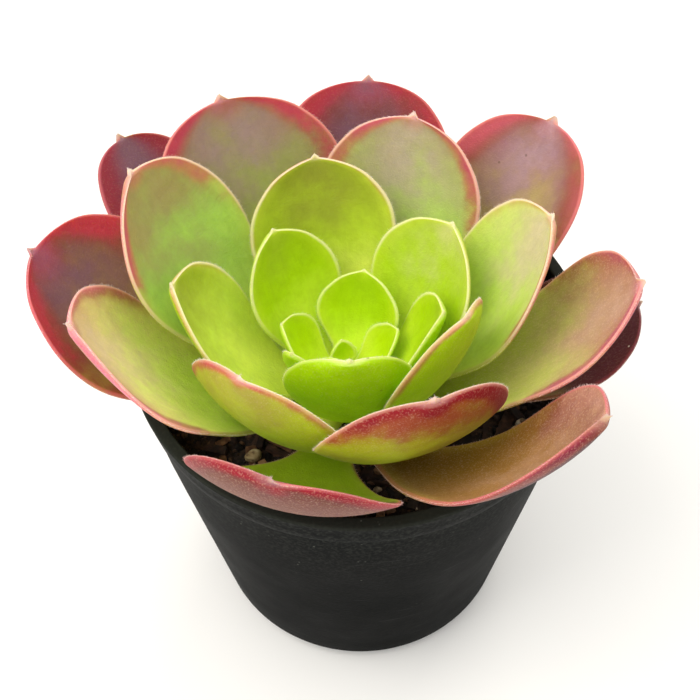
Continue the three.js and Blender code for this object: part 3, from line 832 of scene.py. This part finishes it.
# Leaves whose look departs from that of their age
LOOK_DEPARTURES = {
    11: {"end": "#bcc858", "bloom": "#d0cc90", "bloom_share": 0.7},
    12: {"blade": "#c4dc48", "edge_flush": 0.35, "edge_reach": 1.4},
    13: {"blade": "#b0d010"},
    15: {"under": "#a09838", "under_root": "#b8d410", "under_from": 0.6, "under_reach": 2.0,
         "first_red": "#c08048", "under_red": "#b44454"},
    16: {"blade": "#bcd854", "end": "#ccc888", "edge_flush": 0.7, "edge_reach": 2.2, "lean": -0.4,
         "bloom": "#ccb8a0"},
    17: {"blade": "#a8cc54", "end": "#8c9c5c", "lean": 0.3, "tip_flush": 0.3, "edge_reach": 3.0},
    18: {"under": "#8c5c24", "under_root": "#b8cc08", "under_from": 0.57, "under_reach": 3.2,
         "under_tip": 0.6, "first_red": "#a03c18", "under_red": "#881420", "under_lean": 0.5},
    19: {"blade": "#b0c864", "end": "#a49870", "bloom": "#b8a898", "bloom_share": 0.65},
    # Leaf 20's blade and bloom are painted lighter to make up for the shade it stands in
    20: {"root": "#bce010", "blade": "#dcec74", "end": "#d8bc88", "rose": "#c8687c", "tip_flush": 0.3,
         "edge_flush": 0.8, "edge_reach": 2.4, "bloom": "#e8dcb4", "bloom_share": 0.4, "lean": 0.4,
         "upper_fuzz": 0.2},
    21: {"root": "#b4cc38", "blade": "#bcbc64", "end": "#b88478", "rose": "#b05464", "tip_flush": 0.45,
         "edge_flush": 0.9, "edge_reach": 2.6, "bloom": "#ccb098", "bloom_share": 0.5, "lean": -0.5,
         "upper_fuzz": 0.25},
    22: {"root": "#a8c848", "blade": "#98a054", "bloom_share": 0.65},
    23: {"root": "#a8c820", "blade": "#98b020", "under": "#6c3c30", "under_root": "#6c3c30",
         "under_reach": 3.6, "first_red": "#682c30", "under_red": "#8c1828"},
    24: {"lean": 0.3, "root": "#bccc54", "blade": "#b8a868", "end": "#8c5860", "bloom": "#ac9098",
         "bloom_share": 0.75, "edge_flush": 0.65, "edge_reach": 4.5, "rose": "#bc5868"},
    25: {"bloom_share": 0.6},
    26: {"root": "#88680c", "blade": "#986c28", "end": "#b0845c", "rose": "#b48070", "tip_flush": 0.5,
         "edge_flush": 0.4, "bloom": "#c09c78", "bloom_share": 0.6, "under": "#48182a",
         "under_tip": 0.0, "under_reach": 3.0, "under_red": "#7c1c34", "upper_fuzz": 0.3},
    27: {"blade": "#7c4840", "end": "#5c2834", "bloom_share": 0.7},
    29: {"blade": "#44181a", "end": "#3c1014", "under": "#3c1216", "bloom_share": 0.15,
         "rose": "#501820", "first_red": "#481c18", "margin": "#743440"},
    30: {"lean": 0.3},
}


def leaf_flesh(age):
    """The living skin of one leaf, its colours laid by place along it and distance from its margin."""
    own = dict(zip(COLOUR_NAMES, by_age(COLOURS_BY_AGE, age)))
    own |= dict(zip(AMOUNT_NAMES, by_age(AMOUNTS_BY_AGE, age)))
    own |= {"lean": 0.0, "under_lean": 0.0, "under_from": 0.35, "under_tip": own["tip_flush"]}
    own["upper_fuzz"] = 0.003 * max(0, age - 14)
    own["under_root"] = mixed_hex(own["under"], own["root"], 0.6)
    own |= LOOK_DEPARTURES.get(age, {})
    own.setdefault("under_red", own["rose"])
    material, nodes = new_material(f"aeonium_leaf_flesh_{age:02d}")
    at = add_node(nodes, "ShaderNodeTexCoord").outputs["Object"]
    along, across, inset, under_side = (
        add_node(nodes, "ShaderNodeAttribute", attribute_name=name).outputs["Fac"]
        for name in ("along", "across", "inset", "under")
    )
    clouds = add_node(
        nodes, "ShaderNodeTexNoise", {"Vector": at, "Scale": 95, "Detail": 5, "Roughness": 0.6}
    ).outputs[0]
    mottle = add_node(
        nodes, "ShaderNodeTexNoise", {"Vector": at, "Scale": 420, "Detail": 4, "Roughness": 0.7}
    ).outputs[0]
    drift = add_node(
        nodes,
        "ShaderNodeMapRange",
        {0: clouds, 1: 0.25, 2: 0.75, 3: -0.1, 4: 0.1},
        interpolation_type="SMOOTHSTEP",
    ).outputs[0]
    wander = add_node(nodes, "ShaderNodeMath", {0: along, 1: drift}, operation="ADD").outputs[0]
    upper = add_node(
        nodes, "ShaderNodeValToRGB", {0: wander},
        [(0.15, own["root"]), (0.58, own["blade"]), (0.94, own["end"])],
    ).outputs["Color"]
    lower = add_node(
        nodes, "ShaderNodeValToRGB", {0: wander},
        [(own["under_from"], own["under_root"]), (own["under_from"] + 0.35, own["under"])],
    ).outputs["Color"]

    def reds(colour, tip_from, tip_amount, edge_amount, edge_reach, lean, first_red, last_red):
        """Lays the flush of red over a face, from the tip back and from the margin in."""
        from_tip = add_node(
            nodes,
            "ShaderNodeMapRange",
            {0: wander, 1: tip_from, 2: 1.0, 3: 0.0, 4: tip_amount},
            interpolation_type="SMOOTHSTEP",
        ).outputs[0]
        from_edge = add_node(
            nodes,
            "ShaderNodeMapRange",
            {0: inset, 1: edge_reach * 1.7, 2: 0.1, 3: 0.0, 4: edge_amount},
            interpolation_type="SMOOTHSTEP",
        ).outputs[0]
        fades = (
            {0: wander, 1: 0.38, 2: 0.95},
            {0: clouds, 1: 0.3, 2: 0.62, 3: 0.55, 4: 1.0},
            {0: across, 1: -1, 2: 1, 3: 1 - lean, 4: 1 + lean},
        )
        for steps in fades:
            fade = add_node(nodes, "ShaderNodeMapRange", steps, interpolation_type="SMOOTHSTEP")
            from_edge = add_node(
                nodes, "ShaderNodeMath", {0: from_edge, 1: fade.outputs[0]}, operation="MULTIPLY"
            ).outputs[0]
        amount = add_node(
            nodes, "ShaderNodeMath", {0: from_tip, 1: from_edge}, operation="ADD"
        ).outputs[0]
        other_amount = add_node(
            nodes, "ShaderNodeMath", {0: drift, 1: from_edge}, operation="MULTIPLY"
        ).outputs[0]
        flush = add_node(
            nodes, "ShaderNodeMath", {0: amount, 1: other_amount}, operation="ADD", use_clamp=True
        ).outputs[0]
        share = add_node(
            nodes,
            "ShaderNodeMapRange",
            {0: flush, 1: 0.05, 2: 0.5, 3: 0.0, 4: 0.9},
            interpolation_type="SMOOTHSTEP",
        ).outputs[0]
        colour = add_node(
            nodes, "ShaderNodeMix", {0: share, 6: colour, 7: linear(first_red)}, data_type="RGBA"
        ).outputs[2]
        share = add_node(
            nodes, "ShaderNodeMapRange", {0: flush, 1: 0.25, 2: 0.95}, interpolation_type="SMOOTHSTEP"
        ).outputs[0]
        return add_node(
            nodes, "ShaderNodeMix", {0: share, 6: colour, 7: linear(last_red)}, data_type="RGBA"
        ).outputs[2]

    # Wax blooms grey on the middle of the blade, and thins out before the margin
    from_middle = add_node(nodes, "ShaderNodeMath", {0: across}, operation="ABSOLUTE").outputs[0]
    middle = add_node(
        nodes, "ShaderNodeMapRange", {0: from_middle, 1: 0.85, 2: 0.1}, interpolation_type="SMOOTHSTEP"
    ).outputs[0]
    fade = add_node(
        nodes, "ShaderNodeMapRange", {0: wander, 1: 0.42, 2: 0.92}, interpolation_type="SMOOTHSTEP"
    ).outputs[0]
    amount = add_node(nodes, "ShaderNodeMath", {0: middle, 1: fade}, operation="MULTIPLY").outputs[0]
    other_fade = add_node(
        nodes, "ShaderNodeMapRange", {0: clouds, 1: 0.25, 2: 0.6}, interpolation_type="SMOOTHSTEP"
    ).outputs[0]
    bloom = add_node(
        nodes, "ShaderNodeMath", {0: amount, 1: other_fade}, operation="MULTIPLY"
    ).outputs[0]
    # Painted glow: the thin flesh near the margin is painted brighter and yellower, for light shining
    # through it
    share = add_node(
        nodes,
        "ShaderNodeMapRange",
        {0: inset, 1: 3.5, 2: 0.4, 3: 0.0, 4: 0.35},
        interpolation_type="SMOOTHSTEP",
    ).outputs[0]
    upper = add_node(
        nodes,
        "ShaderNodeMix",
        {0: share, 6: upper, 7: linear(mixed_hex(own["blade"], "#f0f070", 0.5))},
        data_type="RGBA",
    ).outputs[2]
    upper = reds(
        upper, 0.45, own["tip_flush"], own["edge_flush"], own["edge_reach"], own["lean"],
        own["first_red"], own["rose"],
    )
    share = add_node(
        nodes, "ShaderNodeMath", {0: bloom, 1: own["bloom_share"]}, operation="MULTIPLY"
    ).outputs[0]
    upper = add_node(
        nodes, "ShaderNodeMix", {0: share, 6: upper, 7: linear(own["bloom"])}, data_type="RGBA"
    ).outputs[2]
    first_under = mixed_hex(own["first_red"], "#9a6a30", 0.5 if age < 20 else 0.1)
    lower = reds(
        lower, 0.68, own["under_tip"], own["under_flush"], own["under_reach"], own["under_lean"],
        first_under, own["under_red"],
    )
    flesh = add_node(
        nodes, "ShaderNodeMix", {0: under_side, 6: upper, 7: lower}, data_type="RGBA"
    ).outputs[2]
    # The down is too fine to show, so its pale tips are drawn about 0.3 mm apart
    fuzz = add_node(nodes, "ShaderNodeTexNoise", {"Vector": at, "Scale": 3000, "Detail": 2}).outputs[0]
    fuzz = add_node(
        nodes, "ShaderNodeMapRange", {0: fuzz, 1: 0.5, 2: 0.72}, interpolation_type="SMOOTHSTEP"
    ).outputs[0]
    fuzz_amount = add_node(
        nodes,
        "ShaderNodeMapRange",
        {0: under_side, 1: 0.0, 2: 1.0, 3: own["upper_fuzz"], 4: 0.06 + 0.006 * age},
        interpolation_type="SMOOTHSTEP",
    ).outputs[0]
    share = add_node(
        nodes, "ShaderNodeMath", {0: fuzz, 1: fuzz_amount}, operation="MULTIPLY"
    ).outputs[0]
    flesh = add_node(
        nodes, "ShaderNodeMix", {0: share, 6: flesh, 7: linear("#ecccb0")}, data_type="RGBA"
    ).outputs[2]
    # Cells and faint lengthwise veins show as small shifts of brightness
    stripes = add_node(
        nodes, "ShaderNodeTexNoise", {"W": across, "Scale": 14, "Detail": 2}, noise_dimensions="1D"
    )
    fade = add_node(
        nodes,
        "ShaderNodeMapRange",
        {0: mottle, 1: 0.3, 2: 0.7, 3: 0.95, 4: 1.05},
        interpolation_type="SMOOTHSTEP",
    ).outputs[0]
    other_fade = add_node(
        nodes,
        "ShaderNodeMapRange",
        {0: stripes.outputs[0], 1: 0.3, 2: 0.7, 3: 0.985, 4: 1.015},
        interpolation_type="SMOOTHSTEP",
    ).outputs[0]
    grain = add_node(nodes, "ShaderNodeMath", {0: fade, 1: other_fade}, operation="MULTIPLY").outputs[0]
    flesh = add_node(
        nodes, "ShaderNodeVectorMath", {0: flesh, "Scale": grain}, operation="SCALE"
    ).outputs[0]
    # The translucent margin is about 0.5 mm wide: cream at the sides, and its own colour near the tip
    fade = add_node(
        nodes,
        "ShaderNodeMapRange",
        {0: inset, 1: 0.8, 2: 0.1, 3: 0.0, 4: 0.7},
        interpolation_type="SMOOTHSTEP",
    ).outputs[0]
    other_fade = add_node(
        nodes,
        "ShaderNodeMapRange",
        {0: under_side, 1: 0.0, 2: 1.0, 3: 1.0, 4: 0.2},
        interpolation_type="SMOOTHSTEP",
    ).outputs[0]
    margin = add_node(
        nodes, "ShaderNodeMath", {0: fade, 1: other_fade}, operation="MULTIPLY"
    ).outputs[0]
    side_margin = mixed_hex(own["margin"], "#eaec98", max(0.0, 0.75 - 0.03 * age))
    share = add_node(nodes, "ShaderNodeMath", {0: margin, 1: 0.6}, operation="MULTIPLY").outputs[0]
    flesh = add_node(
        nodes, "ShaderNodeMix", {0: share, 6: flesh, 7: linear(side_margin)}, data_type="RGBA"
    ).outputs[2]
    fade = add_node(
        nodes, "ShaderNodeMapRange", {0: wander, 1: 0.4, 2: 0.8}, interpolation_type="SMOOTHSTEP"
    ).outputs[0]
    share = add_node(nodes, "ShaderNodeMath", {0: margin, 1: fade}, operation="MULTIPLY").outputs[0]
    flesh = add_node(
        nodes, "ShaderNodeMix", {0: share, 6: flesh, 7: linear(own["margin"])}, data_type="RGBA"
    ).outputs[2]
    point = mixed_hex(own["margin"] if age < 22 else own["bloom"], "#ecd4d0", 0.4)
    share = add_node(
        nodes,
        "ShaderNodeMapRange",
        {0: along, 1: 0.965, 2: 0.995, 3: 0.0, 4: 0.7},
        interpolation_type="SMOOTHSTEP",
    ).outputs[0]
    flesh = add_node(
        nodes, "ShaderNodeMix", {0: share, 6: flesh, 7: linear(point)}, data_type="RGBA"
    ).outputs[2]
    # Small brown marks, and pale specks of dust
    spots = add_node(nodes, "ShaderNodeTexVoronoi", {"Vector": at, "Scale": 260}).outputs["Distance"]
    chosen = add_node(nodes, "ShaderNodeTexNoise", {"Vector": at, "Scale": 130, "Detail": 1}).outputs[0]
    fade = add_node(
        nodes, "ShaderNodeMapRange", {0: spots, 1: 0.085, 2: 0.05}, interpolation_type="SMOOTHSTEP"
    ).outputs[0]
    other_fade = add_node(
        nodes,
        "ShaderNodeMapRange",
        {0: chosen, 1: 0.62, 2: 0.68, 3: 0.0, 4: 0.5},
        interpolation_type="SMOOTHSTEP",
    ).outputs[0]
    marks = add_node(nodes, "ShaderNodeMath", {0: fade, 1: other_fade}, operation="MULTIPLY").outputs[0]
    flesh = add_node(
        nodes, "ShaderNodeMix", {0: marks, 6: flesh, 7: linear("#4c3a22")}, data_type="RGBA"
    ).outputs[2]
    fade = add_node(
        nodes, "ShaderNodeMapRange", {0: spots, 1: 0.07, 2: 0.03}, interpolation_type="SMOOTHSTEP"
    ).outputs[0]
    other_fade = add_node(
        nodes,
        "ShaderNodeMapRange",
        {0: chosen, 1: 0.4, 2: 0.34, 3: 0.0, 4: 0.6},
        interpolation_type="SMOOTHSTEP",
    ).outputs[0]
    dust = add_node(nodes, "ShaderNodeMath", {0: fade, 1: other_fade}, operation="MULTIPLY").outputs[0]
    flesh = add_node(
        nodes, "ShaderNodeMix", {0: dust, 6: flesh, 7: linear("#f2efe4")}, data_type="RGBA"
    ).outputs[2]
    bump = add_node(
        nodes, "ShaderNodeBump", {"Strength": 0.25, "Distance": 0.0002, "Height": fuzz}
    ).outputs[0]
    bump = add_node(
        nodes, "ShaderNodeBump", {"Strength": 0.35, "Distance": 0.0006, "Height": mottle, "Normal": bump}
    ).outputs[0]
    out = add_node(
        nodes,
        "ShaderNodeBsdfPrincipled",
        {
            "Base Color": flesh,
            "Roughness": 0.52,
            "IOR": 1.4,
            "Specular IOR Level": 0.22,
            "Subsurface Weight": 0.4,
            "Subsurface Radius": (1.0, 0.85, 0.15),
            "Subsurface Scale": 0.003,
            "Sheen Weight": 0.02 + 0.002 * age,
            "Sheen Roughness": 0.4,
            "Sheen Tint": linear("#f4e4d8"),
            "Normal": bump,
        },
    ).outputs[0]
    add_node(nodes, "ShaderNodeOutputMaterial", {0: out})
    return material


def leaf_slot(age):
    return "leaf_heart" if age <= 11 else "leaf_middle" if age <= 21 else "leaf_outer"


margin_lines = {"leaf_heart": [], "leaf_middle": [], "leaf_outer": []}
for age in range(1, OLDEST_LEAF + 1):
    if age in LOST_LEAVES:
        continue
    points, faces, fields, margin = leaf_mesh(age)
    blade = mesh_piece(f"leaf_blade_{age:02d}", points, faces, leaf_flesh(age))
    for name, values in fields.items():
        layer = blade.data.attributes.new(name, "FLOAT", "POINT")
        layer.data.foreach_set("value", np.asarray(values, np.float32).ravel())
    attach(blade, "root")
    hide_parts(f"leaf_{age:02d}")
    margin_lines[leaf_slot(age)].append(margin)

# The fringe of hairs
# Every leaf margin carries a row of fine white hairs about half a millimetre long. A real one is
# 0.03 mm thick, too thin to show, so each is drawn 0.06 mm thick at its foot.

HAIR_TINTS = {
    "leaf_heart": ("#dfe6a0", "#f4f4cc"),
    "leaf_middle": ("#eed4c4", "#fff6ee"),
    "leaf_outer": ("#d8a0a0", "#f0d4cc"),
}


def leaf_hair(slot_name):
    """Clear dead cells that catch the light, tinted by the margin behind them."""
    material, nodes = new_material(f"hair_on_{slot_name}")
    at = add_node(nodes, "ShaderNodeTexCoord").outputs["Object"]
    tint = add_node(nodes, "ShaderNodeTexNoise", {"Vector": at, "Scale": 90, "Detail": 2}).outputs[0]
    dark, pale = HAIR_TINTS[slot_name]
    tint = add_node(
        nodes, "ShaderNodeValToRGB", {0: tint},
        [(0.35, dark), (0.65, pale)],
    ).outputs["Color"]
    hair = add_node(nodes, "ShaderNodeBsdfPrincipled", {"Base Color": tint, "Roughness": 0.5}).outputs[0]
    add_node(nodes, "ShaderNodeOutputMaterial", {0: hair})
    return material


def fringe_tree(name, material):
    """Three-sided spikes that stand outward along a line, each turned and sized by its own random draw."""
    nodes, group = new_geometry_tree(name, ["Spacing", "Hair length", "Foot radius"])
    lines = add_node(nodes, "GeometryNodeMeshToCurve", {"Mesh": group["Geometry"]}).outputs[0]
    stations = add_node(
        nodes, "GeometryNodeResampleCurve", {"Curve": lines, "Length": group["Spacing"]}, mode="LENGTH"
    ).outputs[0]
    outward = add_node(
        nodes, "GeometryNodeInputNamedAttribute", {"Name": "outward"}, data_type="FLOAT_VECTOR"
    ).outputs[0]
    stray = add_node(
        nodes,
        "FunctionNodeRandomValue",
        {0: (-0.6, -0.6, -0.6), 1: (0.6, 0.6, 0.6), "Seed": 5},
        data_type="FLOAT_VECTOR",
    ).outputs[0]
    lean = add_node(nodes, "ShaderNodeVectorMath", {0: outward, 1: stray}, operation="ADD").outputs[0]
    aim = add_node(nodes, "FunctionNodeAlignRotationToVector", {"Vector": lean}, axis="Z").outputs[0]
    spike = add_node(
        nodes,
        "GeometryNodeMeshCone",
        {
            "Vertices": 3,
            "Radius Top": 0.0,
            "Radius Bottom": group["Foot radius"],
            "Depth": group["Hair length"],
        },
        fill_type="NGON",
    ).outputs["Mesh"]
    grow = add_node(
        nodes, "FunctionNodeRandomValue", {2: 0.45, 3: 1.25, "Seed": 9}, data_type="FLOAT"
    ).outputs[1]
    hairs = add_node(
        nodes,
        "GeometryNodeInstanceOnPoints",
        {"Points": stations, "Instance": spike, "Rotation": aim, "Scale": grow},
    ).outputs[0]
    hairs = add_node(nodes, "GeometryNodeRealizeInstances", {0: hairs}).outputs[0]
    hairs = add_node(
        nodes, "GeometryNodeSetMaterial", {"Geometry": hairs, "Material": material}
    ).outputs[0]
    add_node(nodes, "NodeGroupOutput", {0: hairs})
    return nodes


for slot_name, lines_of_group in margin_lines.items():
    starts = np.cumsum([0] + [len(line[0]) for line in lines_of_group])
    points = np.vstack([line[0] for line in lines_of_group])
    outwards = np.vstack([line[1] for line in lines_of_group])
    edges = [(i, i + 1) for start, stop in zip(starts[:-1], starts[1:]) for i in range(start, stop - 1)]
    mesh = bpy.data.meshes.new(f"fringe_{slot_name}")
    mesh.from_pydata((points * MM).tolist(), [(int(a), int(b)) for a, b in edges], [])
    layer = mesh.attributes.new("outward", "FLOAT_VECTOR", "POINT")
    layer.data.foreach_set("vector", outwards.astype(np.float32).ravel())
    fringe = bpy.data.objects.new(f"fringe_{slot_name}", mesh)
    bpy.context.scene.collection.objects.link(fringe)
    nodes = fringe_tree(f"fringe_of_{slot_name}", leaf_hair(slot_name))
    run_tree(fringe, nodes, {"Spacing": 0.18 * MM, "Hair length": 0.45 * MM, "Foot radius": 0.03 * MM})
    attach(fringe, "root")

# The floor, the light and the camera
# A plain pale floor under soft studio light. The camera stands in front of the pot and looks down
# at it by 51 degrees.

floor_paint, tree = new_material("matt_white_floor")
# Matt white paint, very slightly uneven.
place = add_node(tree, "ShaderNodeTexCoord").outputs["Object"]
tone = add_node(tree, "ShaderNodeTexNoise", {"Vector": place, "Scale": 3, "Detail": 3}).outputs[0]
white = add_node(
    tree, "ShaderNodeValToRGB", {0: tone},
    [(0.3, "#f2f2f2"), (0.7, "#f6f6f6")],
).outputs["Color"]
surface = add_node(tree, "ShaderNodeBsdfPrincipled", {"Base Color": white, "Roughness": 0.9}).outputs[0]
add_node(tree, "ShaderNodeOutputMaterial", {0: surface})
floor_points = [(-3000, -3000, -0.02), (3000, -3000, -0.02), (3000, 3000, -0.02), (-3000, 3000, -0.02)]
floor = mesh_piece("studio_floor", floor_points, [(0, 1, 2, 3)], floor_paint)

world = bpy.data.worlds.new("pale_studio")
bpy.context.scene.world = world
world.use_nodes = True
world.node_tree.nodes["Background"].inputs["Color"].default_value = linear("#fffdf8")
world.node_tree.nodes["Background"].inputs["Strength"].default_value = 1.05


def soft_box(name, place_m, size_m, watts, colour):
    """A square area light that faces the plant."""
    light = bpy.data.lights.new(name, "AREA")
    light.size = size_m
    light.energy = watts
    light.color = linear(colour)[:3]
    box = bpy.data.objects.new(name, light)
    box.location = place_m
    aim_at = Vector((0, 0, 0.08)) - Vector(place_m)
    box.rotation_euler = aim_at.to_track_quat("-Z", "Y").to_euler()
    bpy.context.scene.collection.objects.link(box)


soft_box("top_left_light", (-0.5, -0.15, 0.9), 0.7, 5, "#fffaf0")
soft_box("back_light", (0.35, 0.7, 0.7), 0.6, 2.5, "#fffaf0")
soft_box("left_front_fill", (-0.8, -0.6, 0.25), 0.5, 1.2, "#f8fbff")

FOCAL_PIXELS = 1200
FRAME_PIXELS = 700
CAMERA_DISTANCE = 0.2373
CAMERA_ELEVATION = math.radians(51)
CAMERA_ROLL = math.radians(-0.7)
RIM_CENTRE_PIXELS = (8.5, -20.5)

rim_centre = Vector((0, 0, POT_HEIGHT * MM))
stand = Vector((0, -math.cos(CAMERA_ELEVATION), math.sin(CAMERA_ELEVATION))) * CAMERA_DISTANCE
forward = -stand.normalized()
right = Vector((1, 0, 0))
upward = right.cross(forward)
offset = Vector((RIM_CENTRE_PIXELS[0], -RIM_CENTRE_PIXELS[1], -FOCAL_PIXELS)).normalized()
yaw = math.atan2(offset.x, -offset.z)
forward, right = (
    forward * math.cos(yaw) - right * math.sin(yaw),
    forward * math.sin(yaw) + right * math.cos(yaw),
)
pitch = math.atan2(offset.y, math.hypot(offset.x, offset.z))
forward, upward = (
    forward * math.cos(pitch) - upward * math.sin(pitch),
    forward * math.sin(pitch) + upward * math.cos(pitch),
)
right, upward = (
    right * math.cos(CAMERA_ROLL) + upward * math.sin(CAMERA_ROLL),
    upward * math.cos(CAMERA_ROLL) - right * math.sin(CAMERA_ROLL),
)
camera_data = bpy.data.cameras.new("camera")
camera_data.sensor_width = 36
camera_data.lens = 36 * FOCAL_PIXELS / FRAME_PIXELS
camera_data.clip_start = 0.01
camera = bpy.data.objects.new("camera", camera_data)
axes = Matrix((right, upward, -forward)).transposed()
camera.matrix_world = Matrix.Translation(rim_centre + stand) @ axes.to_4x4()
bpy.context.scene.collection.objects.link(camera)
bpy.context.scene.camera = camera
bpy.context.scene.view_settings.view_transform = "Standard"
